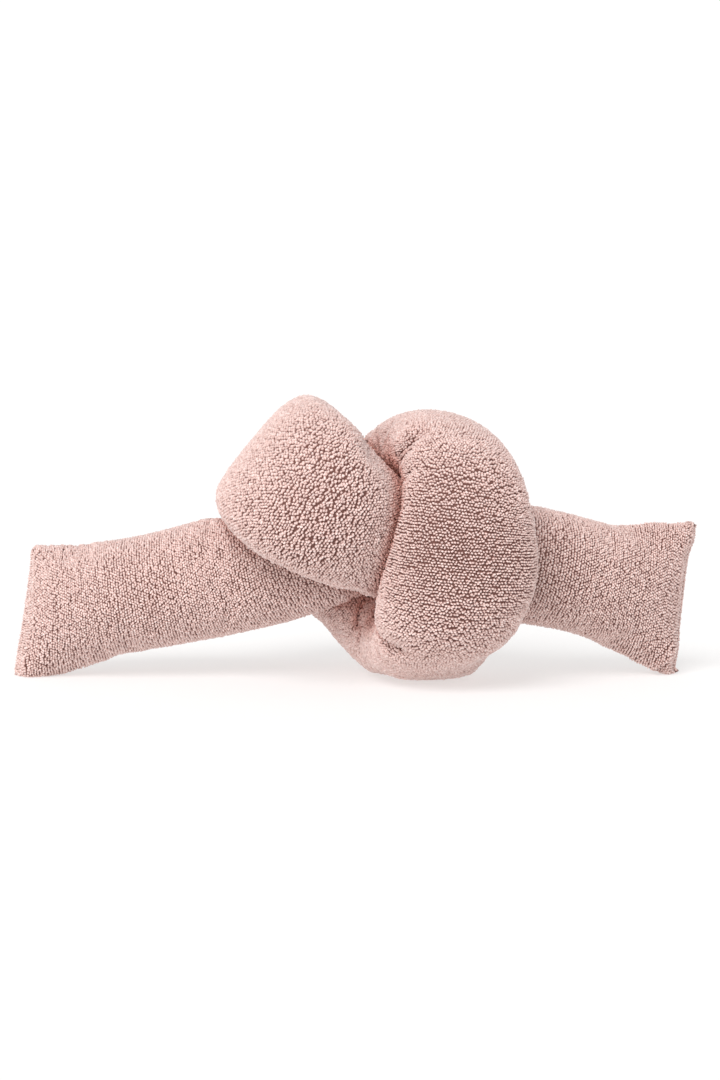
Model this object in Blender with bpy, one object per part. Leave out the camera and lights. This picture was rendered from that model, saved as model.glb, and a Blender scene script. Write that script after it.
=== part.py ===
"""Knot cushion: one stuffed boucle tube, sewn flat across both ends and tied in an overhand knot.

The cushion is one solid. Its route is a smooth curve through the stations below, and the tube's
section is a flattened round that narrows to a flat seam at each end. Where one pass of the tube
presses on another, both are flattened to the surface midway between them, and the underside is
flattened to the floor. Metres, +X along the cushion, +Z up; the knot's foot and the two lower
end corners stand on Z = 0, and the origin is below the middle of the bounding box.
"""
import math

import bpy
import numpy as np

MM = 0.001

# Driving dimensions, in millimetres
SEAM_HALF_THICK = 5.0      # half the thickness of the flat seam across each end
PILLOW_LENGTH = 95.0       # how far from its end seam the tube reaches its full depth
LENS = 0.6                 # how much sooner the tube's sides flatten than its middle on that way
EAR_REACH = 9.0            # how far each corner of an end seam stands out past the seam's middle
EAR_LENGTH = 60.0          # how far from the seam the corners are drawn out
PASS_GAP = 2.0             # left between two passes that press on each other
PRESS_SOFTNESS = 5.0       # rounding of the crease where two passes meet
BEND_SHARE = 0.92          # how much of the way to a neighbouring section's plane is filled
BEND_REACH = 75.0          # how far along the tube the sections are kept apart that way
FLOOR_SOFTNESS = 3.0       # rounding at the edge of each flat foot
FLOOR_SINK = 2.5           # how far the section would pass the floor before it is cut flat
SEAM_LIFT = 1.5            # how far the very end of each seam stays off the floor
SEAM_LIFT_LENGTH = 12.0
APART = 150.0              # passes closer than this along the tube are the same pass
ALONG_REACH = 28.0         # reach of one section along the tube when passes are compared
GUIDE_SECTIONS = 200       # sections that passes are compared with
PRESS_STEP = 0.05          # share of its reach by which a ray is searched for the next pass
PRESS_SHARES = np.arange(0.2, 1.75, PRESS_STEP)

# Mesh density
SIDES = 40
RING_STEP = 15.4           # between sections along the plain tube
CLOSE_STEP = 6.0           # between sections at a fold and near an end seam
CLOSE_REACH = 32.0         # how far from a fold or an end seam the sections stay close

# Stations along the tube, in millimetres: the centre x (right), y (away), z (up), the half width
# and half depth of the section, how square it is (2 is an ellipse), and the direction
# (wx, wy, wz) of its width.
COLUMNS = ("x", "y", "z", "wide", "deep", "square", "wx", "wy", "wz")
PLACE = slice(COLUMNS.index("x"), COLUMNS.index("z") + 1)
HALF = slice(COLUMNS.index("wide"), COLUMNS.index("deep") + 1)
SQUARE = COLUMNS.index("square")
WIDTH = slice(COLUMNS.index("wx"), COLUMNS.index("wz") + 1)
STATIONS = (
    # left end, seam upright
    (-416, 30, 67, 78, 52, 3.0, 0.15, 0.0, 1.0),
    (-338, 32, 82, 70, 54, 2.0, -0.08, 0.0, 1.0),
    (-270, 30, 95, 67, 56, 2.0, -0.16, 0.0, 0.98),
    (-201, 23, 112, 67, 56, 2.0, -0.22, 0.0, 0.97),
    (-133, 8, 132, 67, 56, 2.0, -0.28, 0.0, 0.95),
    (-74, 4, 155, 68, 54, 2.0, -0.45, 0.0, 0.89),
    # behind the left lobe and up to the top of the right one
    (-18, 34, 190, 68, 54, 2.0, -0.64, 0.0, 0.77),
    (10, 44, 224, 66, 50, 2.0, -0.78, 0.0, 0.62),
    (35, 14, 247, 66, 47, 2.0, -0.92, -0.2, 0.3),
    (51, -46, 246, 69, 46, 2.1, -0.97, -0.2, 0.2),
    # right lobe, down the front
    (67, -88, 214, 71, 50, 2.2, -1.0, 0.0, 0.2),
    (66, -96, 175, 78, 52, 2.3, -1.0, 0.0, 0.1),
    (62, -95, 130, 83, 52, 2.3, -1.0, 0.0, 0.1),
    (51, -86, 88, 79, 50, 2.1, -1.0, -0.1, 0.1),
    # under the knot, front to back
    (41, -40, 50, 74, 46, 2.0, -0.95, -0.3, 0.0),
    (26, 7, 38, 74, 48, 2.0, -0.87, -0.45, 0.0),
    (9, 42, 47, 69, 50, 2.0, -0.85, -0.45, -0.2),
    # up the back, to the top of the left lobe
    (-22, 72, 77, 69, 52, 2.0, -0.85, -0.25, -0.45),
    (-74, 96, 132, 73, 50, 2.1, -0.83, 0.0, -0.55),
    (-112, 86, 188, 80, 47, 2.5, -0.75, 0.0, -0.65),
    (-127, 38, 226, 84, 45, 3.4, -0.64, 0.0, -0.77),
    (-126, -26, 234, 85, 46, 3.4, -0.64, -0.1, -0.77),
    # left lobe, down across the front
    (-108, -74, 223, 85, 47, 2.8, -0.6, -0.1, -0.8),
    (-78, -92, 205, 82, 48, 2.4, -0.56, 0.0, -0.81),
    (-42, -75, 184, 76, 50, 2.0, -0.47, 0.0, -0.89),
    (0, -46, 163, 70, 52, 2.0, -0.35, 0.0, -0.94),
    # behind the right lobe and out to the right end
    (56, -16, 146, 68, 54, 2.0, -0.25, 0.0, -0.97),
    (112, 0, 133, 66, 56, 2.0, -0.2, 0.0, -0.98),
    (151, 10, 126, 66, 56, 2.0, -0.2, 0.0, -0.98),
    (206, 26, 112, 67, 56, 2.0, -0.2, 0.0, -0.98),
    (263, 36, 94, 75, 54, 2.0, -0.17, 0.0, -0.98),
    (319, 42, 79, 87, 52, 3.0, -0.1, 0.0, -1.0),
)

# Folds across the tube where it bends sharply: the station (counted from 0) where the fold lies at
# its middle side, how many stations it slants over a full turn, its first and last side in degrees
# round the section from the width direction, its depth and its half width.
FOLD_COLUMNS = ("station", "slant", "side_from", "side_to", "depth", "spread")
FOLDS = (
    (9.47, 2.4, -75, 50, 15, 12),
    (13.55, -2.8, -95, 40, 22, 15),
    (16.8, 0.8, 10, 110, 12, 10),
)

FABRIC_COLOUR = (0.74, 0.52, 0.46, 1.0)
FABRIC_ROUGHNESS = 0.95


def spline(knots, values, at):
    """Natural cubic spline through values (a row for each knot), read at the positions in at."""
    step = np.diff(knots)
    slope = np.diff(values, axis=0) / step[:, None]
    count = len(knots)
    matrix = np.eye(count)
    right = np.zeros_like(values)
    for i in range(1, count - 1):
        matrix[i, i - 1] = step[i - 1]
        matrix[i, i] = 2 * (step[i - 1] + step[i])
        matrix[i, i + 1] = step[i]
        right[i] = 6 * (slope[i] - slope[i - 1])
    bend = np.linalg.solve(matrix, right)
    i = np.clip(np.searchsorted(knots, at, side="right") - 1, 0, count - 2)
    t = (at - knots[i])[:, None]
    h = step[i][:, None]
    rise = slope[i] - h * (2 * bend[i] + bend[i + 1]) / 6
    return values[i] + t * (rise + t * (bend[i] / 2 + t * (bend[i + 1] - bend[i]) / (6 * h)))


def unit(vectors):
    return vectors / np.linalg.norm(vectors, axis=-1, keepdims=True)


def tube_path(steps=None):
    """The tube's sections: centres, sizes, axes wide, deep and along, and arc length. Without steps
    they are placed by the mesh density; otherwise they are that many, evenly spaced."""
    table = np.array(STATIONS, float)
    table[:, WIDTH] = unit(table[:, WIDTH])
    chord = np.linalg.norm(np.diff(table[:, PLACE], axis=0), axis=1)
    knots = np.concatenate([[0.0], np.cumsum(chord)])
    fine = np.linspace(0.0, knots[-1], 4000)
    points = spline(knots, table[:, PLACE], fine)
    length = np.concatenate([[0.0], np.cumsum(np.linalg.norm(np.diff(points, axis=0), axis=1))])
    station_arc = np.interp(knots, fine, length)
    if steps is None:
        at_folds = [fold[FOLD_COLUMNS.index("station")] for fold in FOLDS]
        close = [0.0, length[-1], *np.interp(at_folds, range(len(knots)), station_arc)]
        away = np.min([np.abs(length - c) for c in close], axis=0)
        step = CLOSE_STEP + (RING_STEP - CLOSE_STEP) * smooth(away / CLOSE_REACH - 0.5)
        counted = np.concatenate([[0.0], np.cumsum(np.diff(length) / step[1:])])
        steps = round(counted[-1]) + 1
        arc = np.interp(np.linspace(0.0, counted[-1], steps), counted, length)
    else:
        arc = np.linspace(0.0, length[-1], steps)
    where = np.interp(arc, length, fine)
    rows = spline(knots, table, where)
    before = spline(knots, table[:, PLACE], where - 0.5)
    after = spline(knots, table[:, PLACE], where + 0.5)
    along = unit(after - before)
    wide = unit(rows[:, WIDTH])
    return {
        "centre": rows[:, PLACE],
        "half": rows[:, HALF],
        "square": rows[:, SQUARE],
        "wide": wide,
        "deep": unit(np.cross(along, wide)),
        "along": along,
        "arc": arc,
        "station_arc": station_arc,
    }


def to_nearer_end(path):
    return np.minimum(path["arc"], path["arc"][-1] - path["arc"])


def smooth(t):
    t = np.clip(t, 0.0, 1.0)
    return t * t * (3 - 2 * t)


def soft_least(a, b, softness):
    """The smaller of a and b, rounded where they are nearly equal."""
    low = np.minimum(a, b)
    spread = np.exp(-np.minimum(np.abs(a - b) / softness, 50.0))
    return low - softness * np.log1p(spread)


def free_sections(path, sides):
    """Every section before anything presses on it, as an array of rings by sides by 3."""
    angle = 2 * math.pi * np.arange(sides) / sides
    cos, sin = np.cos(angle), np.sin(angle)
    to_end = to_nearer_end(path)
    fill = np.sqrt(1 - (1 - np.clip(to_end / PILLOW_LENGTH, 0, 1)) ** 2)
    half_deep = SEAM_HALF_THICK + (path["half"][:, 1] - SEAM_HALF_THICK) * fill
    lens = LENS * np.sin(math.pi * np.clip(to_end / PILLOW_LENGTH, 0, 1))
    power = (2 / path["square"])[:, None]
    thickness = half_deep[:, None] * np.sign(sin) * np.abs(sin) ** (power + lens[:, None])
    width = path["half"][:, 0][:, None] * np.sign(cos) * np.abs(cos) ** power
    return (
        path["centre"][:, None]
        + width[..., None] * path["wide"][:, None]
        + thickness[..., None] * path["deep"][:, None]
    )


def drawn_in(path, rings, allowed, softness):
    """The rings with every point no further from its section's centre than allowed."""
    out = rings - path["centre"][:, None]
    reach = np.linalg.norm(out, axis=-1)
    kept = soft_least(reach, allowed, softness)
    return path["centre"][:, None] + out * (kept / reach)[..., None]


def fill_bends(path, rings):
    """Keeps each section on its own side of its neighbours' planes, so a bend only closes up inside."""
    normal = unit(np.cross(path["wide"], path["deep"]))
    out = rings - path["centre"][:, None]
    reach = np.linalg.norm(out, axis=-1)
    ray = out / reach[..., None]
    allowed = np.full(reach.shape, 1e3)
    for first in range(len(rings)):
        near = np.abs(path["arc"] - path["arc"][first]) < BEND_REACH
        near[first] = False
        ahead = np.einsum("jk,jk->j", normal[near], path["centre"][near] - path["centre"][first])
        closing = ray[first] @ normal[near].T * np.sign(ahead)
        meets = np.where(closing > 1e-4, np.abs(ahead) / np.maximum(closing, 1e-4), 1e3)
        allowed[first] = BEND_SHARE * np.min(meets, axis=1)
    return drawn_in(path, rings, allowed, PRESS_SOFTNESS)


def sink_folds(path, rings):
    """Sinks a soft trough across the tube at each row of FOLDS."""
    sides = rings.shape[1]
    angle = 360 * np.arange(sides) / sides
    out = rings - path["centre"][:, None]
    reach = np.linalg.norm(out, axis=-1)
    sunk = np.zeros_like(reach)
    stations = range(len(path["station_arc"]))
    for station, slant, side_from, side_to, depth, spread in FOLDS:
        middle = (side_from + side_to) / 2
        half = (side_to - side_from) / 2
        turn = (angle - middle + 180) % 360 - 180
        place = np.interp(station + slant * turn / 360, stations, path["station_arc"])
        across = np.exp(-(((path["arc"][:, None] - place) / spread) ** 2))
        sunk += depth * across * smooth((half - np.abs(turn)) / (0.6 * half))
    return path["centre"][:, None] + out * (1 - sunk / reach)[..., None]


def draw_out_ears(path, rings):
    """Draws the two corners of each end seam out along the tube, which leaves the seam hollow."""
    sides = rings.shape[1]
    angle = 2 * math.pi * np.arange(sides) / sides
    side = np.where(path["arc"] < path["arc"][-1] / 2, -1.0, 1.0)
    drawn = side * EAR_REACH * (1 - smooth(to_nearer_end(path) / EAR_LENGTH))
    ear = drawn[:, None] * np.cos(angle) ** 4
    return rings + ear[..., None] * path["along"][:, None]


def nearness(points, arc, path):
    """How near each point is to its own pass and to any other: 0 on the axis, 1 on the surface."""
    own = np.full(points.shape[:-1], np.inf)
    other = own.copy()
    for j in range(len(path["arc"])):
        away = points - path["centre"][j]
        square = path["square"][j]
        across = (
            np.abs(away @ path["wide"][j] / path["half"][j, 0]) ** square
            + np.abs(away @ path["deep"][j] / path["half"][j, 1]) ** square
        ) ** (2 / square)
        share = across + (away @ path["along"][j] / ALONG_REACH) ** 2
        apart = np.abs(arc - path["arc"][j]) > APART
        other[apart] = np.minimum(other[apart], share[apart])
        own[~apart] = np.minimum(own[~apart], share[~apart])
    return np.sqrt(own), np.sqrt(other)


def press_passes(path, rings, guide):
    """Draws each ring in to the surface midway between it and any other pass that it would enter."""
    out = rings - path["centre"][:, None]
    reach = np.linalg.norm(out, axis=-1)
    limit = np.full(reach.shape, np.inf)
    before = None
    for share in PRESS_SHARES:
        own, other = nearness(path["centre"][:, None] + share * out, path["arc"], guide)
        excess = own - other
        if before is not None:
            crossed = (before < 0) & (excess >= 0) & np.isinf(limit)
            part = excess / np.maximum(excess - before, 1e-9)
            limit = np.where(crossed, share - PRESS_STEP * part, limit)
        before = excess
    allowed = np.where(np.isinf(limit), 1e3, limit * reach) - PASS_GAP / 2
    return drawn_in(path, rings, allowed, PRESS_SOFTNESS)


def stand_on_floor(path, rings):
    """Rounds the underside towards the floor and cuts it flat there."""
    out = rings - path["centre"][:, None]
    reach = np.linalg.norm(out, axis=-1)
    down = np.maximum(-out[..., 2] / reach, 1e-4)
    height = path["centre"][:, None, 2]
    lifted = 1 - smooth(to_nearer_end(path) / SEAM_LIFT_LENGTH)
    sink = FLOOR_SINK - (FLOOR_SINK + SEAM_LIFT) * lifted[:, None]
    kept = soft_least(reach, (height + sink) / down, FLOOR_SOFTNESS)
    kept = np.minimum(kept, height / down)
    return path["centre"][:, None] + out * (kept / reach)[..., None]


def cushion_rings(steps, sides):
    """The finished surface as rings of points, in millimetres."""
    path = tube_path(steps)
    rings = free_sections(path, sides)
    rings = fill_bends(path, rings)
    rings = sink_folds(path, rings)
    rings = press_passes(path, rings, tube_path(GUIDE_SECTIONS))
    rings = draw_out_ears(path, rings)
    rings = stand_on_floor(path, rings)
    low = rings.min(axis=(0, 1))
    high = rings.max(axis=(0, 1))
    return rings - [(low[0] + high[0]) / 2, (low[1] + high[1]) / 2, 0.0]


def loft(name, rings):
    """A closed mesh over rings of points, with each flat end bridged across its seam."""
    count, sides = rings.shape[:2]
    half = sides // 2
    faces = []
    for i in range(count - 1):
        for k in range(sides):
            a, b = i * sides + k, i * sides + (k + 1) % sides
            faces.append((a, b, b + sides, a + sides))
    last = (count - 1) * sides
    for k in range(half):
        mirror = (sides - k) % sides
        corners = [k, mirror, sides - k - 1, k + 1]
        faces.append(tuple(dict.fromkeys(corners)))
        faces.append(tuple(dict.fromkeys(last + c for c in reversed(corners))))
    mesh = bpy.data.meshes.new(name)
    mesh.from_pydata((rings.reshape(-1, 3) * MM).tolist(), [], faces)
    mesh.validate()
    return mesh


def fabric():
    material = bpy.data.materials.new("pink_boucle")
    material.use_nodes = True
    shader = material.node_tree.nodes["Principled BSDF"]
    shader.inputs["Base Color"].default_value = FABRIC_COLOUR
    shader.inputs["Roughness"].default_value = FABRIC_ROUGHNESS
    shader.inputs["Metallic"].default_value = 0.0
    return material


def main():
    for old in list(bpy.data.objects):
        bpy.data.objects.remove(old)
    collection = bpy.data.collections.new("knot_cushion")
    bpy.context.scene.collection.children.link(collection)
    mesh = loft("knot_cushion", cushion_rings(None, SIDES))
    mesh.materials.append(fabric())
    mesh.shade_smooth()
    cushion = bpy.data.objects.new("knot_cushion", mesh)
    collection.objects.link(cushion)


main()
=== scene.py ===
"""Looks of the knot cushion: boucle cover, pile of yarn nubs, floor, light and camera."""
import math

import bpy
import numpy as np
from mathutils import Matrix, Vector
from mathutils.bvhtree import BVHTree


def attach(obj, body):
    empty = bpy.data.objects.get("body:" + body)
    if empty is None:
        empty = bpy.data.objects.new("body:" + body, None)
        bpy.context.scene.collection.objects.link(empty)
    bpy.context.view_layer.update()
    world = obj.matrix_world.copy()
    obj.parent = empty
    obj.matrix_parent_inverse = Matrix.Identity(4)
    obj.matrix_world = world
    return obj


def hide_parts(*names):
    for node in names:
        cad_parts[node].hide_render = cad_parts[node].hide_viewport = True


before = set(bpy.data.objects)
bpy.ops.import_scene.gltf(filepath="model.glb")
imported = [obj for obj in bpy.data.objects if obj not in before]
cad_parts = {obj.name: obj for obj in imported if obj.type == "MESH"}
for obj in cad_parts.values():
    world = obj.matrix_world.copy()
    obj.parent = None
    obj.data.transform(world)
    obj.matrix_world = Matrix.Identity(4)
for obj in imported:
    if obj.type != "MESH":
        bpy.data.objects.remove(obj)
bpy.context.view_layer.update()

MM = 0.001
rng = np.random.default_rng(11)

# The tied tube, as in the part's source. Lengths are in millimetres unless a line says otherwise.
PATH_SAMPLES = 4000
TANGENT_STEP = 0.5
SEAM_HALF_THICK = 2.5
PILLOW_LENGTH = 95.0
LENS = 0.6
EAR_LENGTH = 60.0
EAR_SHARPNESS = 4
PASS_GAP = 2.0
PRESS_SOFTNESS = 5.0
BEND_SHARE = 0.92
BEND_REACH = 75.0
FLOOR_SOFTNESS = 3.0
FLOOR_SINK = 2.5
SEAM_LIFT = 1.5
SEAM_LIFT_LENGTH = 12.0
APART = 150.0
ALONG_REACH = 28.0
PASS_REACH = 330.0
FAR = 1e3
GUIDE_SECTIONS = 200
PRESS_STEP = 0.05
PRESS_SHARES = np.arange(0.2, 1.4, PRESS_STEP)

# One row a station: centre, half width, half depth, squareness and width direction
COLUMNS = ("x", "y", "z", "wide", "deep", "square", "wx", "wy", "wz")
PLACE = slice(COLUMNS.index("x"), COLUMNS.index("z") + 1)
HALF = slice(COLUMNS.index("wide"), COLUMNS.index("deep") + 1)
SQUARE = COLUMNS.index("square")
WIDTH = slice(COLUMNS.index("wx"), COLUMNS.index("wz") + 1)
STATIONS = (
    # left end, seam upright
    (-416, 30, 67, 78, 52, 3.0, 0.15, 0.0, 1.0),
    (-338, 32, 82, 70, 54, 2.0, -0.08, 0.0, 1.0),
    (-270, 30, 95, 67, 56, 2.0, -0.16, 0.0, 0.98),
    (-201, 23, 112, 67, 56, 2.0, -0.22, 0.0, 0.97),
    (-133, 8, 132, 67, 56, 2.0, -0.28, 0.0, 0.95),
    (-74, 4, 155, 68, 54, 2.0, -0.45, 0.0, 0.89),
    # behind the left lobe and up to the top of the right one
    (-18, 34, 190, 68, 54, 2.0, -0.64, 0.0, 0.77),
    (10, 44, 224, 66, 50, 2.0, -0.78, 0.0, 0.62),
    (35, 14, 247, 66, 47, 2.0, -0.92, -0.2, 0.3),
    (51, -46, 246, 69, 46, 2.1, -0.97, -0.2, 0.2),
    # right lobe, down the front
    (67, -88, 214, 71, 50, 2.2, -1.0, 0.0, 0.2),
    (66, -96, 175, 78, 52, 2.3, -1.0, 0.0, 0.1),
    (62, -95, 130, 83, 52, 2.3, -1.0, 0.0, 0.1),
    (51, -86, 88, 79, 50, 2.1, -1.0, -0.1, 0.1),
    # under the knot, front to back
    (41, -40, 50, 74, 46, 2.0, -0.95, -0.3, 0.0),
    (26, 7, 38, 74, 48, 2.0, -0.87, -0.45, 0.0),
    (9, 42, 47, 69, 50, 2.0, -0.85, -0.45, -0.2),
    # up the back, to the top of the left lobe
    (-22, 72, 77, 69, 52, 2.0, -0.85, -0.25, -0.45),
    (-74, 96, 132, 73, 50, 2.1, -0.83, 0.0, -0.55),
    (-112, 86, 188, 80, 47, 2.5, -0.75, 0.0, -0.65),
    (-127, 38, 226, 84, 45, 3.4, -0.64, 0.0, -0.77),
    (-126, -26, 234, 85, 46, 3.4, -0.64, -0.1, -0.77),
    # left lobe, down across the front
    (-108, -74, 223, 85, 47, 2.8, -0.6, -0.1, -0.8),
    (-78, -92, 205, 82, 48, 2.4, -0.56, 0.0, -0.81),
    (-42, -75, 184, 76, 50, 2.0, -0.47, 0.0, -0.89),
    (0, -46, 163, 70, 52, 2.0, -0.35, 0.0, -0.94),
    # behind the right lobe and out to the right end
    (56, -16, 146, 68, 54, 2.0, -0.25, 0.0, -0.97),
    (112, 0, 133, 66, 56, 2.0, -0.2, 0.0, -0.98),
    (151, 10, 126, 66, 56, 2.0, -0.2, 0.0, -0.98),
    (206, 26, 112, 67, 56, 2.0, -0.2, 0.0, -0.98),
    (263, 36, 94, 75, 54, 2.0, -0.17, 0.0, -0.98),
    (319, 42, 79, 87, 52, 3.0, -0.1, 0.0, -1.0),
)
# Soft troughs: station, slant in stations, first and last side in degrees, depth, spread along the tube
FOLDS = (
    (9.6, 2.4, -62, 50, 8, 9),
    (13.5, 1.5, -66, 40, 10, 8),
    (16.45, 5.2, 0, 95, 8, 7),
)
FOLD_EDGE = 0.6
# From the stations' coordinates to the part's
CENTRING = (47.0, 1.0, 0.0)

# Simulated filling: the cover is blown up a little as cloth, and each point may move so far out or in.
# It is held where it is pressed, near the floor and near the ends, and its movement fades out at the ends.
CLOTH_RINGS = 200
CLOTH_SIDES = 60
CLOTH_FRAMES = 12
CLOTH_OUT = 4.0
CLOTH_IN = 8.0
CLOTH_FADE = 120.0
HELD_PRESS = 4.0
HELD_FLOOR = 4.0
HELD_END = 8.0
HELD_LEAST = 0.01

# The cover's mesh
RINGS = 300
SIDES = 80
FINE_RINGS = 520
FINE_SIDES = 140
END_ROUNDING = (0.35, 0.7, 0.95)
END_RADIUS = 2.5
# The fabric between two rings is as long as the longer of the steps between them, at this percentile
LONG_STEPS = 92
# The woven ground lies this far inside the surface, and less at the ends
COVER_INSET = 2.2
INSET_AT_END = 0.25
INSET_FADE = 18.0
COVER_CLEARANCE = 0.4

# How far the left and right ends' corners, and their whole edges, move out along the tube
EAR_REACH = (-1.5, 6.0)
END_SHIFT = (2.5, -3.5)
# Soft pushes: centre, radius, shift, first and last station they act on
PUSHES = (
    ((28, -100, 257), 28, (-15, 0, -6), 20.5, 26.0),
    ((85, -72, -4), 48, (0, 10, 6), 11.5, 17.0),
    ((152, -42, 18), 45, (-10, 3, 8), 11.5, 17.0),
    ((-18, 50, 18), 48, (1, 0, 3), 14.5, 18.5),
    ((26, -12, 4), 30, (6, 2, 6), 13.5, 16.3),
    ((-48, 78, 50), 26, (4, 0, 4), 16.0, 19.0),
    ((-380, 26, 9), 14, (3, -2, 0), 0.0, 2.0),
    ((-373, 23, 21), 9, (2, 0, 0), 0.0, 2.0),
    ((332, 40, 168), 34, (0, 0, 7), 28.0, 31.0),
    ((372, 36, 160), 16, (0, 0, 5), 28.0, 31.0),
    ((356, 28, 7), 14, (-5, 0, 0), 28.0, 31.0),
    ((360, 30, 30), 16, (2, 0, 0), 28.0, 31.0),
)
# Soft swellings along the surface normal: centre, radius, rise
SWELLINGS = (
    ((-366, 20, 10), 24, 6),
    ((350, 25, 4), 10, 5),
    ((352, 22, 24), 12, 5),
    ((374, 35, 154), 14, 6),
    ((-357, 24, 141), 11, 3),
)
# Overlaps, where one side of a line stands over the other: how far the low side sinks, how far the high
# side rises (positive where later stations are the high side), and the line's points (station, degrees)
OVERLAPS = (
    (6.0, 4.0, ((9.75, 22), (9.68, 3), (9.65, -5), (9.57, -13), (9.5, -26), (9.48, -36), (9.5, -48))),
    (4.0, -4.0, ((13.5, 26), (13.6, 10), (13.4, -20), (13.4, -38), (13.3, -56))),
    (5.0, -6.0, ((16.92, 80), (16.82, 67), (16.69, 57), (16.50, 44), (16.30, 31))),
    (4.0, -5.0, ((30.6, -22), (30.70, -31), (30.84, -46))),
)
LOW_REACH = 13.0
SLIT_REACH = 4.0
SLIT_SHARE = 0.5
HIGH_REACH = 9.0
EDGE_ROUND = 2.0
# Creases: depth, half width, and the line's points (station, degrees)
CREASES = (
    (4.0, 3.5, ((16.92, 80), (16.82, 67), (16.69, 57), (16.50, 44), (16.30, 31))),
    (4.0, 3.6, ((10.04, -8), (9.97, -26), (9.97, -44))),
    (2.0, 3.2, ((13.75, -2), (13.83, -12), (14.0, -26))),
    (2.5, 3.5, ((9.05, 22), (8.95, 0), (8.85, -28))),
    (2.5, 3.5, ((8.72, 24), (8.6, 6), (8.5, -14))),
    (2.0, 3.2, ((8.3, 24), (8.22, 4), (8.15, -10))),
    (2.0, 3.5, ((30.95, -146), (30.8, -152), (30.72, -162))),
)
LINE_POINTS = 60
LINE_MARGIN = 1.5
LINE_OVERRUN = 0.1
LINE_FADE = 0.6

# Ruffles where a bend crowds the cover: waves, their rates along the tube (radians a station), most
# turns round the tube, phases and height
PUCKER_WAVES = 14
PUCKER_RATES = (50 / 3, 130 / 3)
PUCKER_TURNS = 5
PUCKER_PHASES = (0, 6.28)
PUCKER_RISE = 0.55

# The pile: space between rows, nubs in a row, and the nubs' sizes (mean, deviation, least, most)
NUB_ROW = 3.3
NUBS_ROUND = 116
NUB_LENGTH = (3.6, 0.28, 2.8, 4.4)
NUB_WIDTH = (2.95, 0.2, 2.4, 3.5)
NUB_HEIGHT = (2.8, 0.35, 1.8, 3.8)
# A nub is a block of eight corners: the foot's and top's share of its size, their heights, and how
# far a top corner strays
NUB_FOOT = 1.12
NUB_TOP = (0.45, 0.38)
NUB_SINK = -0.3
NUB_TOP_HEIGHT = (0.8, 1.0)
NUB_WOBBLE = 0.16
NUB_TURN = 0.45
NUB_CLEARANCE = 0.3
NUB_CORNERS = ((-1, -1), (-1, 1), (1, 1), (1, -1))
NUB_FACES = ((4, 7, 6, 5), (0, 3, 7, 4), (3, 2, 6, 7), (2, 1, 5, 6), (1, 0, 4, 5))
NUB_POINTS = 8
# How far nubs stray from their places: in shares of a nub's space round the tube, and in rings
ROUND_JITTER = 0.16
RING_JITTER = 0.12
# Where the last row stands and how far a nub may stray, as rings short of their count
LAST_ROW = 1.01
LAST_PLACE = 1.001
# Nubs are left out where the cover is closed up below the first number. Their width follows how open it
# is, up to the second.
CLOSED_LEAST = 0.62
CLOSED_MOST = 1.8
WIDTH_SHARES = (0.6, 0.4)
STRETCH_MOST = 3
# Places where the pile stands thinner or, below 0, thicker: station, reach in stations, share
THINNER = ((31.0, 4.0, 0.10), (11.4, 1.5, 0.18), (15.6, 1.8, -0.18), (22.5, 2.5, 0.02))
PILE_PIECES = 5

# How open each place is, found with rays. Nubs that stand where no ray gets out are left out.
OPEN_RAYS = 21
RAY_SPREAD = 0.97
GOLDEN_ANGLE = 2.39996
RAY_START = 0.8
RAY_SKIN = 0.6
RAY_LENGTH = 1000.0
UPRIGHT = 0.9
OPEN_LEAST = 0.02
END_OPEN = 0.9
END_OPEN_RINGS = 4

# Colours of the yarn by height, with painted shade at the nubs' feet and a painted highlight at their tops;
# from nub to nub; and painted shade, darker and redder, where little light gets in; and of the ground
# between the nubs, dark as painted shade, with grain
YARN_SHADE_AND_HIGHLIGHT_BY_HEIGHT = ((0.05, (0.13, 0.045, 0.034)), (0.55, (0.71, 0.49, 0.445)), (1.0, (0.86, 0.70, 0.665)))
YARN_BY_TONE = ((0.0, (0.90, 0.88, 0.88)), (1.0, (1.08, 1.09, 1.09)))
YARN_SHADE_BY_OPENNESS = ((0.0, (0.96, 0.60, 0.52)), (0.62, (1.0, 1.0, 1.0)))
GROUND_SHADE_BY_GRAIN = ((0.3, (0.14, 0.06, 0.05)), (0.7, (0.205, 0.098, 0.08)))

# Light and floor
SKY_STRENGTH = 0.52
HORIZON_STRENGTH = 1.05
SKY_FADE = (0.15, 0.6)
SUN_STRENGTH = 1.93
SUN_ANGLE = 36.0
SUN_DIRECTION = (0.36, 0.92, -1.0)
FRONT_STRENGTH = 0.42
FRONT_COLOUR = (1.0, 0.78, 0.7)
FRONT_ANGLE = 60.0
FRONT_DIRECTION = (0.75, 1.0, -0.1)
FLOOR_SIZE = 60
FLOOR_ALBEDO = 0.46
FLOOR_GLOW = 0.54
FLOOR_GLOW_COLOUR = (1.0, 0.985, 0.975)

# Camera: distance and aim in metres, elevation in degrees
CAMERA_DISTANCE = 3.0
CAMERA_ELEVATION = 6.0
CAMERA_AIM = Vector((0.003, 0.001, 0.156))
CAMERA_SENSOR = 36.0
PHOTO_HEIGHT = 1080
MM_PER_PIXEL = 1.11


def spline(knots, values, at):
    """Natural cubic spline through values (a row for each knot), read at the positions in at."""
    step = np.diff(knots)
    slope = np.diff(values, axis=0) / step[:, None]
    count = len(knots)
    matrix = np.eye(count)
    right = np.zeros_like(values)
    for i in range(1, count - 1):
        matrix[i, i - 1] = step[i - 1]
        matrix[i, i] = 2 * (step[i - 1] + step[i])
        matrix[i, i + 1] = step[i]
        right[i] = 6 * (slope[i] - slope[i - 1])
    bend = np.linalg.solve(matrix, right)
    i = np.clip(np.searchsorted(knots, at, side="right") - 1, 0, count - 2)
    t = (at - knots[i])[:, None]
    h = step[i][:, None]
    rise = slope[i] - h * (2 * bend[i] + bend[i + 1]) / 6
    return values[i] + t * (rise + t * (bend[i] / 2 + t * (bend[i + 1] - bend[i]) / (6 * h)))


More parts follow.
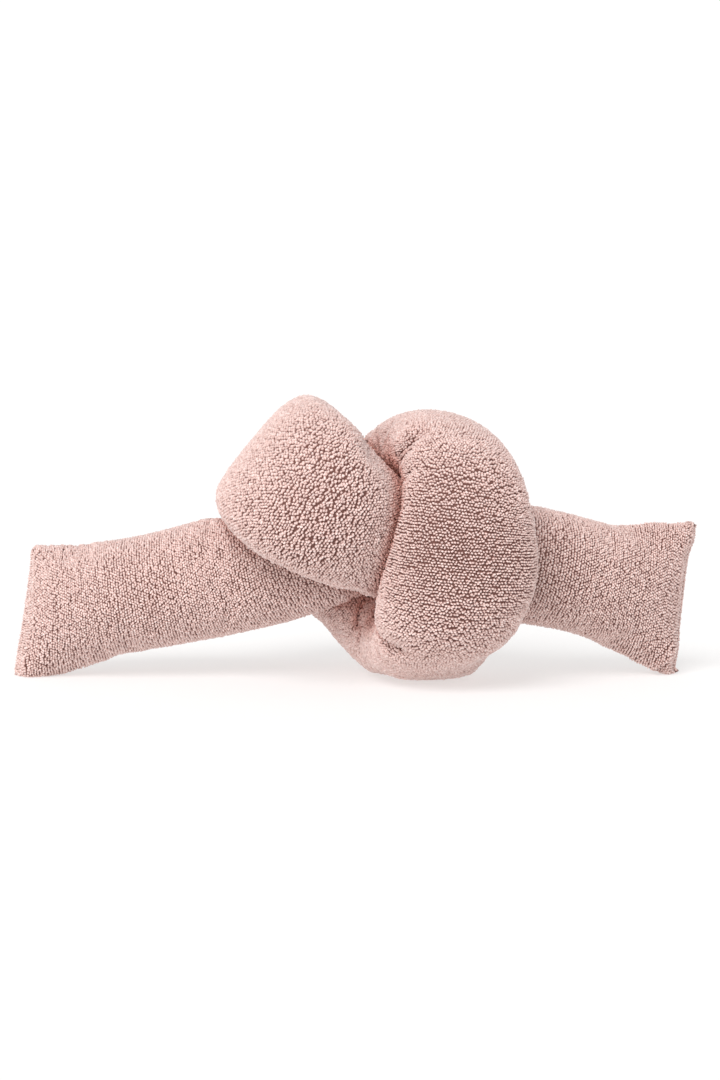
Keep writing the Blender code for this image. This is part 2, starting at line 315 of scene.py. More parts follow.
def unit(vectors):
    return vectors / np.linalg.norm(vectors, axis=-1, keepdims=True)


def smooth(t):
    t = np.clip(t, 0.0, 1.0)
    return t * t * (3 - 2 * t)


def bell(away, reach):
    """1 at distance 0, falling smoothly to nothing past reach."""
    return np.exp(-((away / reach) ** 2))


def running_total(lengths):
    return np.concatenate([[0.0], np.cumsum(lengths)])


def side_angles(sides, turn=2 * math.pi):
    return turn * np.arange(sides) / sides


def soft_least(a, b, softness):
    """The smaller of a and b, rounded where they are nearly equal."""
    low = np.minimum(a, b)
    spread = np.exp(-np.minimum(np.abs(a - b) / softness, 50.0))
    return low - softness * np.log1p(spread)


def tube_path(steps):
    """Evenly spaced sections of the tube: centres, sizes, axes wide, deep and along, and arc length."""
    table = np.array(STATIONS, float)
    table[:, WIDTH] = unit(table[:, WIDTH])
    chord = np.linalg.norm(np.diff(table[:, PLACE], axis=0), axis=1)
    knots = running_total(chord)
    fine = np.linspace(0.0, knots[-1], PATH_SAMPLES)
    points = spline(knots, table[:, PLACE], fine)
    length = running_total(np.linalg.norm(np.diff(points, axis=0), axis=1))
    station_arc = np.interp(knots, fine, length)
    arc = np.linspace(0.0, length[-1], steps)
    where = np.interp(arc, length, fine)
    rows = spline(knots, table, where)
    before = spline(knots, table[:, PLACE], where - TANGENT_STEP)
    after = spline(knots, table[:, PLACE], where + TANGENT_STEP)
    along = unit(after - before)
    wide = unit(rows[:, WIDTH])
    return {
        "centre": rows[:, PLACE],
        "half": rows[:, HALF],
        "square": rows[:, SQUARE],
        "wide": wide,
        "deep": unit(np.cross(along, wide)),
        "along": along,
        "arc": arc,
        "station_arc": station_arc,
    }


def to_nearer_end(path):
    return np.minimum(path["arc"], path["arc"][-1] - path["arc"])


def free_sections(path, sides):
    """Every section before anything presses on it, as an array of rings by sides by 3."""
    angle = side_angles(sides)
    cos, sin = np.cos(angle), np.sin(angle)
    to_end = to_nearer_end(path)
    fill = np.sqrt(1 - (1 - np.clip(to_end / PILLOW_LENGTH, 0, 1)) ** 2)
    half_deep = SEAM_HALF_THICK + (path["half"][:, 1] - SEAM_HALF_THICK) * fill
    lens = LENS * np.sin(math.pi * np.clip(to_end / PILLOW_LENGTH, 0, 1))
    power = (2 / path["square"])[:, None]
    thickness = half_deep[:, None] * np.sign(sin) * np.abs(sin) ** (power + lens[:, None])
    width = path["half"][:, 0][:, None] * np.sign(cos) * np.abs(cos) ** power
    return (
        path["centre"][:, None]
        + width[..., None] * path["wide"][:, None]
        + thickness[..., None] * path["deep"][:, None]
    )


def from_centre(path, rings):
    """Each point's offset and distance from its section's centre."""
    out = rings - path["centre"][:, None]
    return out, np.linalg.norm(out, axis=-1)


def drawn_in(path, rings, allowed, softness):
    """The rings with every point no further from its section's centre than allowed."""
    out, reach = from_centre(path, rings)
    kept = soft_least(reach, allowed, softness)
    return path["centre"][:, None] + out * (kept / reach)[..., None]


def fill_bends(path, rings):
    """Keeps each section on its own side of its neighbours' planes, so a bend only closes up inside."""
    normal = unit(np.cross(path["wide"], path["deep"]))
    out, reach = from_centre(path, rings)
    ray = out / reach[..., None]
    allowed = np.full(reach.shape, FAR)
    for first in range(len(rings)):
        near = np.abs(path["arc"] - path["arc"][first]) < BEND_REACH
        near[first] = False
        ahead = np.einsum("jk,jk->j", normal[near], path["centre"][near] - path["centre"][first])
        closing = ray[first] @ normal[near].T * np.sign(ahead)
        meets = np.where(closing > 1e-4, np.abs(ahead) / np.maximum(closing, 1e-4), FAR)
        allowed[first] = BEND_SHARE * np.min(meets, axis=1)
    return drawn_in(path, rings, allowed, PRESS_SOFTNESS)


def sink_folds(path, rings):
    """Sinks a soft trough across the tube at each row of FOLDS."""
    angle = side_angles(rings.shape[1], 360)
    out, reach = from_centre(path, rings)
    sunk = np.zeros_like(reach)
    stations = range(len(path["station_arc"]))
    for station, slant, side_from, side_to, depth, spread in FOLDS:
        middle = (side_from + side_to) / 2
        half = (side_to - side_from) / 2
        turn = (angle - middle + 180) % 360 - 180
        place = np.interp(station + slant * turn / 360, stations, path["station_arc"])
        across = bell(path["arc"][:, None] - place, spread)
        sunk += depth * across * smooth((half - np.abs(turn)) / (FOLD_EDGE * half))
    return path["centre"][:, None] + out * (1 - sunk / reach)[..., None]


def draw_out_ears(path, rings):
    """Draws the two corners of each end seam out along the tube, which leaves the seam hollow."""
    angle = side_angles(rings.shape[1])
    left = path["arc"] < path["arc"][-1] / 2
    corner = np.where(left, -EAR_REACH[0], EAR_REACH[1])
    edge = np.where(left, -END_SHIFT[0], END_SHIFT[1])
    near = 1 - smooth(to_nearer_end(path) / EAR_LENGTH)
    ear = near[:, None] * (edge[:, None] + corner[:, None] * np.cos(angle) ** EAR_SHARPNESS)
    return rings + ear[..., None] * path["along"][:, None]


def nearness(points, arc, path):
    """How near each point is to its own pass and to any other: 0 on the axis, 1 on the surface."""
    points = points.astype(np.float32)
    own = np.full(points.shape[:-1], np.inf, np.float32)
    other = own.copy()
    for j in range(len(path["arc"])):
        apart = np.abs(arc - path["arc"][j]) > APART
        reach = np.linalg.norm(points[:, 0] - path["centre"][j], axis=-1) < PASS_REACH
        use = reach | ~apart
        away = points[use] - path["centre"][j].astype(np.float32)
        square = path["square"][j]
        axes = np.stack(
            [
                path["wide"][j] / path["half"][j, 0],
                path["deep"][j] / path["half"][j, 1],
                path["along"][j] / ALONG_REACH,
            ],
            axis=1,
        ).astype(np.float32)
        local = away @ axes
        if square == 2:
            share = (local**2).sum(-1)
        else:
            across = np.abs(local[..., 0]) ** square + np.abs(local[..., 1]) ** square
            share = across ** (2 / square) + local[..., 2] ** 2
        rows = np.flatnonzero(use)
        far = rows[apart[rows]]
        near = rows[~apart[rows]]
        other[far] = np.minimum(other[far], share[apart[rows]])
        own[near] = np.minimum(own[near], share[~apart[rows]])
    return np.sqrt(own), np.sqrt(other)


def press_passes(path, rings, guide):
    """Draws each ring in to the surface midway between it and any other pass that it would enter."""
    out, reach = from_centre(path, rings)
    limit = np.full(reach.shape, np.inf)
    before = None
    for share in PRESS_SHARES:
        own, other = nearness(path["centre"][:, None] + share * out, path["arc"], guide)
        excess = own - other
        if before is not None:
            crossed = (before < 0) & (excess >= 0) & np.isinf(limit)
            part = excess / np.maximum(excess - before, 1e-9)
            limit = np.where(crossed, share - PRESS_STEP * part, limit)
        before = excess
    allowed = np.where(np.isinf(limit), FAR, limit * reach) - PASS_GAP / 2
    return drawn_in(path, rings, allowed, PRESS_SOFTNESS)


def stand_on_floor(path, rings):
    """Rounds the underside towards the floor and cuts it flat there."""
    out, reach = from_centre(path, rings)
    down = np.maximum(-out[..., 2] / reach, 1e-4)
    height = path["centre"][:, None, 2]
    lifted = 1 - smooth(to_nearer_end(path) / SEAM_LIFT_LENGTH)
    sink = FLOOR_SINK - (FLOOR_SINK + SEAM_LIFT) * lifted[:, None]
    kept = soft_least(reach, (height + sink) / down, FLOOR_SOFTNESS)
    kept = np.minimum(kept, height / down)
    return path["centre"][:, None] + out * (kept / reach)[..., None]


def cushion_rings(path, sides):
    """The tied tube's surface as rings of points in millimetres, and how far pressing drew each point in."""
    rings = free_sections(path, sides)
    rings = fill_bends(path, rings)
    rings = sink_folds(path, rings)
    loose = rings
    rings = press_passes(path, rings, tube_path(GUIDE_SECTIONS))
    pressed = np.linalg.norm(loose - rings, axis=-1)
    rings = draw_out_ears(path, rings)
    rings = stand_on_floor(path, rings)
    return rings + CENTRING, pressed


def grid_at(values, row, column):
    """Values of a grid of rings read between its points, closed round each ring."""
    rows, columns = values.shape[:2]
    i = np.clip(np.floor(row).astype(int), 0, rows - 2)
    t = (row - i)[:, None]
    k = np.floor(column).astype(int)
    u = (column - k)[:, None]
    k = k % columns
    k2 = (k + 1) % columns
    low = values[i, k] * (1 - u) + values[i, k2] * u
    high = values[i + 1, k] * (1 - u) + values[i + 1, k2] * u
    return low * (1 - t) + high * t


def add_object(name, points, polygons, attributes=()):
    """A smooth mesh object from points in millimetres and arrays of polygons with one row a face."""
    mesh = bpy.data.meshes.new(name)
    mesh.vertices.add(len(points))
    mesh.vertices.foreach_set("co", (points * MM).astype(np.float32).ravel())
    corners = np.concatenate([p.ravel() for p in polygons]).astype(np.int32)
    totals = np.concatenate([np.full(len(p), p.shape[1]) for p in polygons]).astype(np.int32)
    mesh.loops.add(len(corners))
    mesh.loops.foreach_set("vertex_index", corners)
    mesh.polygons.add(len(totals))
    starts = np.concatenate([[0], np.cumsum(totals)[:-1]]).astype(np.int32)
    mesh.polygons.foreach_set("loop_start", starts)
    mesh.polygons.foreach_set("loop_total", totals)
    mesh.polygons.foreach_set("use_smooth", np.ones(len(totals), bool))
    for key, values in attributes:
        attribute = mesh.attributes.new(key, "FLOAT", "POINT")
        attribute.data.foreach_set("value", values.astype(np.float32).ravel())
    mesh.update(calc_edges=True)
    mesh.validate()
    made = bpy.data.objects.new(name, mesh)
    bpy.context.scene.collection.objects.link(made)
    return made


def tube_polygons(count, sides):
    """Quads between rings, and strips that bridge each flat end across its seam."""
    ring, side = np.meshgrid(np.arange(count - 1), np.arange(sides), indexing="ij")
    a = (ring * sides + side).ravel()
    b = (ring * sides + (side + 1) % sides).ravel()
    quads = np.stack([a, b, b + sides, a + sides], axis=1)
    last = (count - 1) * sides
    k = np.arange(1, sides // 2 - 1)
    strip = np.stack([k, sides - k, sides - k - 1, k + 1], axis=1)
    tips = np.array([[0, sides - 1, 1], [sides // 2 - 1, sides // 2 + 1, sides // 2]])
    four = np.concatenate([quads, strip, last + strip[:, ::-1]])
    three = np.concatenate([tips, last + tips[:, ::-1]])
    return [four, three]


def resample(grid, rows, columns):
    """A grid of rings read at other numbers of rings and sides, by cubic convolution."""
    for axis, count in ((0, rows), (1, columns)):
        have = grid.shape[axis]
        if axis == 0:
            at = np.linspace(0, have - 1, count)
            first = np.minimum(at.astype(int), have - 2)
        else:
            at = np.arange(count) * have / count
            first = at.astype(int)
        t = (at - first).reshape([-1 if a == axis else 1 for a in range(grid.ndim)])
        weights = (
            -t / 2 + t**2 - t**3 / 2,
            1 - 2.5 * t**2 + 1.5 * t**3,
            t / 2 + 2 * t**2 - 1.5 * t**3,
            -(t**2) / 2 + t**3 / 2,
        )
        total = 0
        for k, weight in enumerate(weights):
            index = first + k - 1
            index = np.clip(index, 0, have - 1) if axis == 0 else index % have
            total = total + weight * np.take(grid, index, axis=axis)
        grid = total
    return grid


def stations_along(path):
    """The station number at each section of the path, between whole numbers too."""
    return np.interp(path["arc"], path["station_arc"], np.arange(len(path["station_arc"])))


def outward(rings):
    """Outward unit normals of a grid of rings."""
    around = np.roll(rings, -1, axis=1) - np.roll(rings, 1, axis=1)
    normals = unit(np.cross(around, np.gradient(rings, axis=0)))
    spokes = rings - rings.mean(axis=1, keepdims=True)
    return normals if np.einsum("rsk,rsk->", normals, spokes) > 0 else -normals


def ring_steps(rings):
    """Distances from ring to ring, side by side, and the length of fabric cut for each step."""
    steps = np.linalg.norm(np.diff(rings, axis=0), axis=-1)
    return steps, np.percentile(steps, LONG_STEPS, axis=1)


def as_sewn(path, rings):
    """The cover as a straight tube with the same sections."""
    travelled = running_total(ring_steps(rings)[1])
    spokes = rings - path["centre"][:, None] - CENTRING
    return np.stack(
        [
            np.repeat(travelled[:, None], rings.shape[1], axis=1),
            np.einsum("rsk,rk->rs", spokes, path["wide"]),
            np.einsum("rsk,rk->rs", spokes, path["deep"]),
        ],
        axis=-1,
    )


def blown_up(rings, sewn, held):
    """How far each point moves when the rings are blown up as cloth, cut as sewn and held in part."""
    count, sides = rings.shape[:2]
    sheet = add_object("filling_trial", rings.reshape(-1, 3), tube_polygons(count, sides))
    sheet.shape_key_add(name="tied")
    cut = sheet.shape_key_add(name="as_sewn")
    cut.data.foreach_set("co", (sewn * MM).astype(np.float32).ravel())
    group = sheet.vertex_groups.new(name="held")
    for index, weight in enumerate(held.ravel()):
        if weight > HELD_LEAST:
            group.add([index], float(weight), "REPLACE")
    cloth = sheet.modifiers.new("cloth", "CLOTH")
    settings = cloth.settings
    settings.quality = 6
    settings.mass = 0.02
    settings.air_damping = 2.0
    settings.tension_stiffness = 20
    settings.compression_stiffness = 20
    settings.shear_stiffness = 10
    settings.bending_stiffness = 0.5
    settings.use_pressure = True
    settings.uniform_pressure_force = 30.0
    settings.shrink_min = -0.02
    settings.effector_weights.gravity = 0
    settings.vertex_group_mass = "held"
    settings.pin_stiffness = 50
    settings.rest_shape_key = cut
    cloth.collision_settings.use_collision = False
    cloth.point_cache.frame_start = 1
    cloth.point_cache.frame_end = CLOTH_FRAMES
    scene = bpy.context.scene
    for step in range(1, CLOTH_FRAMES + 1):
        scene.frame_set(step)
    mesh = sheet.evaluated_get(bpy.context.evaluated_depsgraph_get()).data
    moved = np.empty(3 * count * sides, np.float32)
    mesh.vertices.foreach_get("co", moved)
    data = sheet.data
    bpy.data.objects.remove(sheet)
    bpy.data.meshes.remove(data)
    scene.frame_set(1)
    return moved.reshape(count, sides, 3) / MM - rings


def filled_out(path, rings, pressed):
    """How far filling moves each point: a short way out or in, and nowhere at the ends."""
    held = np.clip(pressed / HELD_PRESS, 0, 1)
    held = np.maximum(held, np.clip(1 - rings[..., 2] / HELD_FLOOR, 0, 1))
    held = np.maximum(held, np.clip(1 - to_nearer_end(path) / HELD_END, 0, 1)[:, None])
    move = blown_up(rings, as_sewn(path, rings), held)
    along_normal = np.einsum("rsk,rsk->rs", move, outward(rings))
    size = np.linalg.norm(move, axis=-1)
    most = np.where(along_normal > 0, CLOTH_OUT, CLOTH_IN)
    kept = most * np.tanh(size / most) / np.maximum(size, 1e-6)
    kept *= smooth(to_nearer_end(path) / CLOTH_FADE)[:, None]
    return move * kept[..., None]


def pushed(rings, station):
    """Moves points near the centre of each of PUSHES, on its own stretch of the tube."""
    for centre, radius, shift, first, last in PUSHES:
        away = np.linalg.norm(rings - centre, axis=-1)
        mine = ((station >= first) & (station <= last))[:, None]
        rings = rings + (bell(away, radius) * mine)[..., None] * shift
    return rings


def swollen(rings):
    """Raises the surface round the centre of each of SWELLINGS."""
    for centre, radius, rise in SWELLINGS:
        away = np.linalg.norm(rings - centre, axis=-1)
        rings = rings + (rise * bell(away, radius))[..., None] * outward(rings)
    return rings


def from_line(rings, station, points):
    """The rings near a line on the surface, and their points' distance from it, side of it (1 for
    later stations) and fade towards its ends."""
    line = np.array(points, float)
    t = np.linspace(0, 1, LINE_POINTS)
    knots = np.linspace(0, 1, len(line))
    row = np.interp(np.interp(t, knots, line[:, 0]), station, np.arange(len(rings)))
    column = np.interp(t, knots, line[:, 1]) * rings.shape[1] / 360
    places = grid_at(rings, row, column)
    first, last = line[:, 0].min() - LINE_MARGIN, line[:, 0].max() + LINE_MARGIN
    near = (station > first) & (station < last)
    away = np.linalg.norm(rings[near][:, :, None] - places, axis=-1)
    nearest = away.argmin(axis=-1)
    place = np.clip((t[nearest] + LINE_OVERRUN) / (1 + 2 * LINE_OVERRUN), 0, 1)
    fade = np.sin(math.pi * place) ** LINE_FADE
    later = np.sign(np.flatnonzero(near)[:, None] - row[nearest])
    return near, away.min(axis=-1), later, fade


def creased(rings, station):
    """Steps the surface along each of OVERLAPS and sinks a narrow groove along each of CREASES."""
    rise = np.zeros(rings.shape[:2])
    for sink, lift, points in OVERLAPS:
        near, away, later, fade = from_line(rings, station, points)
        high = abs(lift) * (bell(away, HIGH_REACH) - bell(away, EDGE_ROUND))
        low = -sink * (bell(away, LOW_REACH) + SLIT_SHARE * bell(away, SLIT_REACH))
        rise[near] += fade * np.where(later * lift > 0, high, low)
    for depth, half_width, points in CREASES:
        near, away, _, fade = from_line(rings, station, points)
        rise[near] -= fade * depth * bell(away, half_width)
    return rings + rise[..., None] * outward(rings)


def cell_areas(rings):
    """The surface's area round each point."""
    down = np.gradient(rings, axis=0)
    across = (np.roll(rings, -1, axis=1) - np.roll(rings, 1, axis=1)) / 2
    return np.linalg.norm(np.cross(down, across), axis=-1)


def puckers(rings, station):
    """Small ruffles across the tube where a bend crowds the cover together, as a rise of each point."""
    steps, longest = ring_steps(rings)
    crowded = np.clip(1 - steps / longest[:, None], 0, 1)
    crowded = np.vstack([crowded, crowded[-1:]])
    rows, sides = rings.shape[:2]
    angle = side_angles(sides)
    wave = np.zeros((rows, sides))
    for _ in range(PUCKER_WAVES):
        rate = rng.uniform(*PUCKER_RATES)
        turns = rng.integers(-PUCKER_TURNS, PUCKER_TURNS + 1)
        wave += np.sin(rate * station[:, None] + turns * angle + rng.uniform(*PUCKER_PHASES))
    return PUCKER_RISE * crowded * wave


def rounded_ends(rings, along):
    """Adds rings beyond each end that close the seam's edge with a round."""
    added = []
    for ring, out in ((rings[0], -along[0]), (rings[-1], along[-1])):
        sides = len(ring)
        across = ring[0] - ring[sides // 2]
        length = np.linalg.norm(across)
        across = across / length
        middle = (ring[0] + ring[sides // 2]) / 2
        reach = (ring - middle) @ across
        kept = np.clip(reach, -length / 2 + END_RADIUS, length / 2 - END_RADIUS)
        front_back = (ring + ring[(-np.arange(sides)) % sides]) / 2
        core = front_back + (kept - reach)[:, None] * across
        extra = []
        for share in END_ROUNDING:
            angle = share * math.pi / 2
            extra.append(core + (ring - core) * math.cos(angle) + out * END_RADIUS * math.sin(angle))
        added.append(extra)
    return np.concatenate([added[0][::-1], rings, added[1]])


def openness(rings, polygons):
    """Share of rays that leave each point of a grid of rings without meeting the cushion again."""
    points = rings.reshape(-1, 3)
    normals = outward(rings).reshape(-1, 3)
    skin = [Vector(p) for p in points - RAY_SKIN * normals]
    tree = BVHTree.FromPolygons(skin, polygons.tolist())
    tilt = np.arcsin(np.sqrt((np.arange(OPEN_RAYS) + 0.5) / OPEN_RAYS)) * RAY_SPREAD
    turn = GOLDEN_ANGLE * np.arange(OPEN_RAYS)
    helper = np.where(np.abs(normals[:, 2:]) < UPRIGHT, [[0.0, 0.0, 1.0]], [[1.0, 0.0, 0.0]])
    first = unit(np.cross(normals, helper))
    second = np.cross(normals, first)
    count = np.zeros(len(points))
    for a, b in zip(tilt, turn):
        ray = math.cos(a) * normals + math.sin(a) * (math.cos(b) * first + math.sin(b) * second)
        for n in range(len(points)):
            if tree.ray_cast(points[n] + RAY_START * normals[n], ray[n], RAY_LENGTH)[0] is None:
                count[n] += 1
    return (count / OPEN_RAYS).reshape(rings.shape[:2])


def spread_most(values):
    """Each value raised to the most of its neighbours'."""
    padded = np.vstack([values[:1], values, values[-1:]])
    most = np.maximum(np.maximum(padded[:-2], padded[1:-1]), padded[2:])
    return np.maximum(np.maximum(np.roll(most, 1, axis=1), most), np.roll(most, -1, axis=1))


def nub_places(rings):
    """Rows of pile round the tube: each nub's ring and side, between whole numbers too, how open the
    cover is there (0 where a bend closes it up) and the nubs' spacing round the tube."""
    step, longest = ring_steps(rings)
    travelled = running_total(longest)
    rows = np.interp(np.arange(0.0, travelled[-1], NUB_ROW), travelled, np.arange(len(rings)))
    rows = np.append(rows, len(rings) - LAST_ROW)
    places = []
    for n, row in enumerate(rows):
        i = min(int(row), len(rings) - 2)
        ring = rings[i] * (1 - row + i) + rings[i + 1] * (row - i)
        around = running_total(np.linalg.norm(np.roll(ring, -1, axis=0) - ring, axis=1))
        stray = rng.uniform(-ROUND_JITTER, ROUND_JITTER, NUBS_ROUND)
        at = (np.arange(NUBS_ROUND) + 0.5 * n + stray) / NUBS_ROUND % 1.0
        column = np.interp(at * around[-1], around, np.arange(len(around)))
        here = np.interp(column, np.arange(len(ring) + 1), np.append(step[i], step[i, 0]))
        pitch = np.full(NUBS_ROUND, around[-1] / NUBS_ROUND)
        strayed = row + rng.normal(0, RING_JITTER, NUBS_ROUND)
        places.append(np.stack([strayed, column, here / longest[i], pitch], axis=1))
    return np.concatenate(places)


def sizes(numbers, count):
    mean, deviation, least, most = numbers
    return rng.normal(mean, deviation, count).clip(least, most)


# The cover: the pressed tube, filled out, pushed into shape and creased
path = tube_path(RINGS)
base, pressed = cushion_rings(path, SIDES)
fine = resample(base, FINE_RINGS, FINE_SIDES)
trial = (resample(grid, CLOTH_RINGS, CLOTH_SIDES) for grid in (base, pressed))
move = filled_out(tube_path(CLOTH_RINGS), *trial)
fine = fine + resample(move, FINE_RINGS, FINE_SIDES)
fine_path = tube_path(FINE_RINGS)
station = stations_along(fine_path)
fine = fine + puckers(fine, station)[..., None] * outward(fine)
fine = pushed(fine, station)
fine = swollen(fine)
uncreased = cell_areas(fine)
fine = creased(fine, station)
grown = cell_areas(fine) / np.maximum(uncreased, 1e-6)
stretch = np.sqrt(np.clip(grown, 1, STRETCH_MOST))
stretch = np.pad(stretch, ((len(END_ROUNDING), len(END_ROUNDING)), (0, 0)), constant_values=1.0)
fine = rounded_ends(fine, fine_path["along"])
fine[..., 2] = np.maximum(fine[..., 2], 0.0)
normals = outward(fine)
travel = running_total(np.linalg.norm(np.diff(fine.mean(axis=1), axis=0), axis=-1))
from_end = smooth(np.minimum(travel, travel[-1] - travel) / INSET_FADE)
inset = COVER_INSET * (INSET_AT_END + (1 - INSET_AT_END) * from_end)
inner = fine - inset[:, None, None] * normals
inner[..., 2] = np.maximum(inner[..., 2], COVER_CLEARANCE)
cover_rings = len(inner)
cover = add_object("cover", inner.reshape(-1, 3), tube_polygons(cover_rings, FINE_SIDES))

open_share = openness(resample(fine, RINGS, SIDES), tube_polygons(RINGS, SIDES)[0])
for end in (slice(0, END_OPEN_RINGS), slice(-END_OPEN_RINGS, None)):
    open_share[end] = np.maximum(open_share[end], END_OPEN)
open_fine = resample(open_share, cover_rings, FINE_SIDES)
shown_fine = resample(spread_most(spread_most(open_share)), cover_rings, FINE_SIDES)

# The pile
row, column, closed, pitch = nub_places(fine).T
keep = rng.random(len(row)) < np.clip(closed / CLOSED_LEAST, 0, 1)
row = np.clip(row, 0, cover_rings - LAST_PLACE)
keep &= grid_at(shown_fine[..., None], row, column)[:, 0] > OPEN_LEAST
row, column, closed, pitch = row[keep], column[keep], closed[keep], pitch[keep]
origin = grid_at(inner, row, column)
normal = unit(grid_at(normals, row, column))
around = grid_at(np.roll(fine, -1, axis=1) - fine, row, column)
around = unit(around - np.einsum("nk,nk->n", around, normal)[:, None] * normal)
along = np.cross(normal, around)
count = len(row)

turn = rng.normal(0, NUB_TURN, count)
forward = around * np.cos(turn)[:, None] + along * np.sin(turn)[:, None]
aside = np.cross(normal, forward)
scale = grid_at(stretch[..., None], row, column)[:, 0]
nub_station = np.interp(row - len(END_ROUNDING), np.arange(FINE_RINGS), station)
for middle, reach, thinner in THINNER:
    scale *= 1 - thinner * bell(nub_station - middle, reach)
half_length = scale * sizes(NUB_LENGTH, count) / 2 * pitch / NUB_ROW
narrower = WIDTH_SHARES[0] + WIDTH_SHARES[1] * np.clip(closed, 0, CLOSED_MOST)
half_width = scale * sizes(NUB_WIDTH, count) / 2 * narrower
height = sizes(NUB_HEIGHT, count)
foot = (NUB_FOOT * half_length, NUB_FOOT * half_width)
top = (NUB_TOP[0] * half_length, NUB_TOP[1] * half_width)
shape = [(u * foot[0], v * foot[1], np.full(count, NUB_SINK)) for u, v in NUB_CORNERS]
for u, v in NUB_CORNERS:
    wobble = rng.normal(0, NUB_WOBBLE, (2, count))
    rise = height * rng.uniform(*NUB_TOP_HEIGHT, count)
    shape.append((u * top[0] + wobble[0], v * top[1] + wobble[1], rise))
points = [origin + u[:, None] * forward + v[:, None] * aside + up[:, None] * normal for u, v, up in shape]
points = np.stack(points, axis=1)
points[..., 2] = np.maximum(points[..., 2], NUB_CLEARANCE)
# Each point's share of the mean nub height, which the yarn's colour turns into painted shade at the foot and
# a painted highlight at the top
tall = np.stack([up for _, _, up in shape], axis=1) / NUB_HEIGHT[0]
tone = np.repeat(rng.random(count)[:, None], NUB_POINTS, axis=1)
# How open the cover is at each nub, which the yarn's colour turns into painted shade
nub_open = np.repeat(grid_at(open_fine[..., None], row, column), NUB_POINTS, axis=1)
piles = []
for n, share in enumerate(np.array_split(np.arange(count), PILE_PIECES)):
    first = NUB_POINTS * np.arange(len(share))[:, None, None]
    polygons = [(first + NUB_FACES).reshape(-1, 4)]
    values = [("tall", tall[share]), ("tone", tone[share]), ("open", nub_open[share])]
    piles.append(add_object(f"pile_{n + 1}", points[share].reshape(-1, 3), polygons, values))


def material(name):
    made = bpy.data.materials.new(name)
    made.use_nodes = True
    return made, made.node_tree, made.node_tree.nodes["Principled BSDF"]


def attribute(tree, name):
    node = tree.nodes.new("ShaderNodeAttribute")
    node.attribute_name = name
    return node.outputs["Fac"]


def ramp(tree, factor, stops):
    """The colour that stops of position and colour give to a factor."""
    node = tree.nodes.new("ShaderNodeValToRGB")
    elements = node.color_ramp.elements
    for n, (position, colour) in enumerate(stops):
        element = elements[n] if n < len(elements) else elements.new(position)
        element.position = position
        element.color = (*colour, 1)
    tree.links.new(factor, node.inputs["Fac"])
    return node.outputs["Color"]


def multiplied(tree, first, second):
    node = tree.nodes.new("ShaderNodeVectorMath")
    node.operation = "MULTIPLY"
    tree.links.new(first, node.inputs[0])
    tree.links.new(second, node.inputs[1])
    return node.outputs["Vector"]


def noise_bump(tree, shader, scale, distance, strength):
    """Adds fine grain to a shader's surface and returns the grain's value."""
    place = tree.nodes.new("ShaderNodeTexCoord")
    noise = tree.nodes.new("ShaderNodeTexNoise")
    noise.inputs["Scale"].default_value = scale
    noise.inputs["Detail"].default_value = 2
    tree.links.new(place.outputs["Object"], noise.inputs["Vector"])
    bump = tree.nodes.new("ShaderNodeBump")
    bump.inputs["Strength"].default_value = strength
    bump.inputs["Distance"].default_value = distance
    tree.links.new(noise.outputs["Fac"], bump.inputs["Height"])
    tree.links.new(bump.outputs["Normal"], shader.inputs["Normal"])
    return noise.outputs["Fac"]


def yarn():
    made, tree, shader = material("boucle_yarn")
    # Painted shade at the nubs' feet and a painted highlight at their tops, by each point's height
    colour = ramp(tree, attribute(tree, "tall"), YARN_SHADE_AND_HIGHLIGHT_BY_HEIGHT)
    colour = multiplied(tree, colour, ramp(tree, attribute(tree, "tone"), YARN_BY_TONE))
    # Painted shade: darker and redder yarn where few rays get out of the cushion
    colour = multiplied(tree, colour, ramp(tree, attribute(tree, "open"), YARN_SHADE_BY_OPENNESS))
    tree.links.new(colour, shader.inputs["Base Color"])
    shader.inputs["Roughness"].default_value = 0.9
    shader.inputs["Specular IOR Level"].default_value = 0.25
    shader.inputs["Sheen Weight"].default_value = 0.12
    shader.inputs["Sheen Roughness"].default_value = 0.5
    shader.inputs["Sheen Tint"].default_value = (1.0, 0.9, 0.88, 1)
    noise_bump(tree, shader, scale=1400, distance=0.0004, strength=0.5)
    return made


def shaded_ground_cloth():
    made, tree, shader = material("boucle_ground_painted_shade")
    # The ground shows between the nubs; its dark colour is painted shade, with grain from the noise
    grain = noise_bump(tree, shader, scale=500, distance=0.001, strength=1.0)
    tree.links.new(ramp(tree, grain, GROUND_SHADE_BY_GRAIN), shader.inputs["Base Color"])
    shader.inputs["Roughness"].default_value = 1.0
    return made


cover.data.materials.append(shaded_ground_cloth())
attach(cover, "root")
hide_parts("knot_cushion")
pile_material = yarn()
for pile in piles:
    pile.data.materials.append(pile_material)
    pile.parent = cover

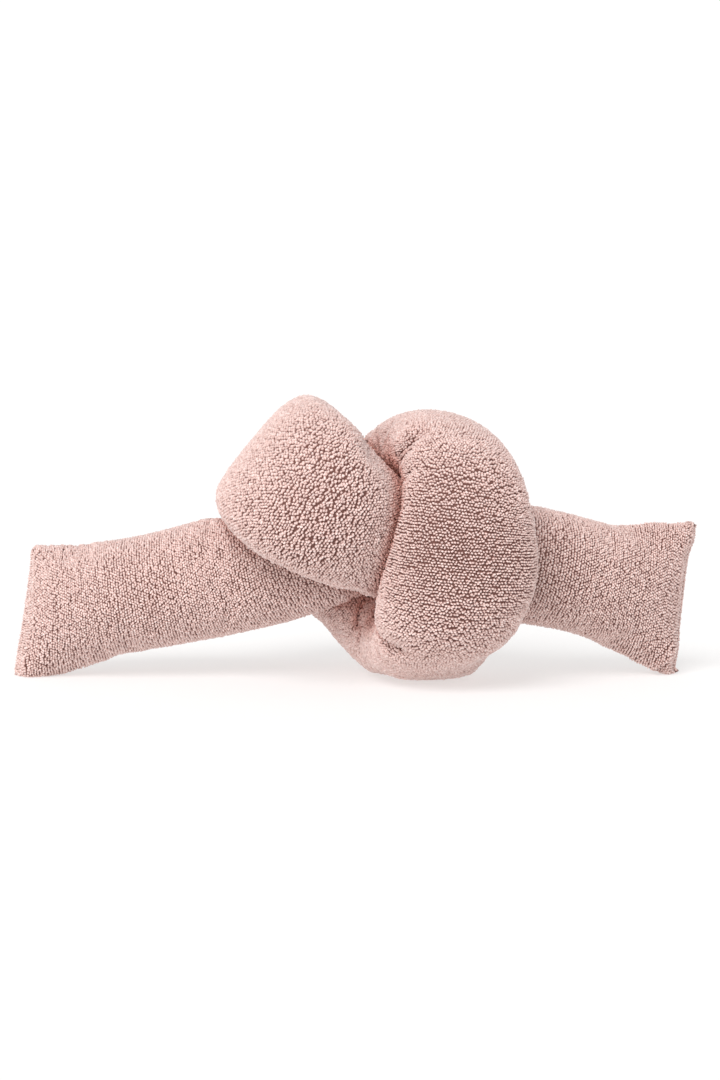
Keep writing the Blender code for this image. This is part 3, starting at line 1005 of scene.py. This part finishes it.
# Floor, light and camera
bpy.ops.mesh.primitive_plane_add(size=FLOOR_SIZE, location=(0, 0, 0))
floor = bpy.context.object
floor.name = "floor"
floor_material, _, floor_shader = material("pale_floor")
floor_shader.inputs["Base Color"].default_value = (FLOOR_ALBEDO, FLOOR_ALBEDO, FLOOR_ALBEDO, 1)
floor_shader.inputs["Roughness"].default_value = 0.9
floor_shader.inputs["Emission Color"].default_value = (*FLOOR_GLOW_COLOUR, 1)
floor_shader.inputs["Emission Strength"].default_value = FLOOR_GLOW
floor.data.materials.append(floor_material)

world = bpy.data.worlds.new("studio")
bpy.context.scene.world = world
world.use_nodes = True
sky = world.node_tree
sky.nodes["Background"].inputs["Color"].default_value = (1, 1, 1, 1)
direction = sky.nodes.new("ShaderNodeTexCoord")
split = sky.nodes.new("ShaderNodeSeparateXYZ")
sky.links.new(direction.outputs["Generated"], split.inputs["Vector"])
falloff = sky.nodes.new("ShaderNodeMapRange")
falloff.interpolation_type = "SMOOTHSTEP"
falloff.inputs["From Min"].default_value = SKY_FADE[0]
falloff.inputs["From Max"].default_value = SKY_FADE[1]
falloff.inputs["To Min"].default_value = HORIZON_STRENGTH
falloff.inputs["To Max"].default_value = SKY_STRENGTH
sky.links.new(split.outputs["Z"], falloff.inputs["Value"])
sky.links.new(falloff.outputs["Result"], sky.nodes["Background"].inputs["Strength"])
bpy.context.scene.view_settings.view_transform = "Standard"

for name, strength, colour, angle, towards in (
    ("overhead_softbox", SUN_STRENGTH, (1.0, 1.0, 1.0), SUN_ANGLE, SUN_DIRECTION),
    ("front_softbox", FRONT_STRENGTH, FRONT_COLOUR, FRONT_ANGLE, FRONT_DIRECTION),
):
    lamp = bpy.data.lights.new(name, "SUN")
    lamp.energy = strength
    lamp.color = colour
    lamp.angle = math.radians(angle)
    softbox = bpy.data.objects.new(name, lamp)
    softbox.rotation_euler = Vector(towards).to_track_quat("-Z", "Y").to_euler()
    bpy.context.scene.collection.objects.link(softbox)

camera_data = bpy.data.cameras.new("camera")
camera_data.sensor_width = CAMERA_SENSOR
camera_data.lens = CAMERA_SENSOR * CAMERA_DISTANCE / (PHOTO_HEIGHT * MM_PER_PIXEL * MM)
camera = bpy.data.objects.new("camera", camera_data)
elevation = math.radians(CAMERA_ELEVATION)
back = Vector((0.0, -math.cos(elevation), math.sin(elevation)))
camera.location = CAMERA_AIM + CAMERA_DISTANCE * back
camera.rotation_euler = (-back).to_track_quat("-Z", "Y").to_euler()
bpy.context.scene.collection.objects.link(camera)
bpy.context.scene.camera = camera
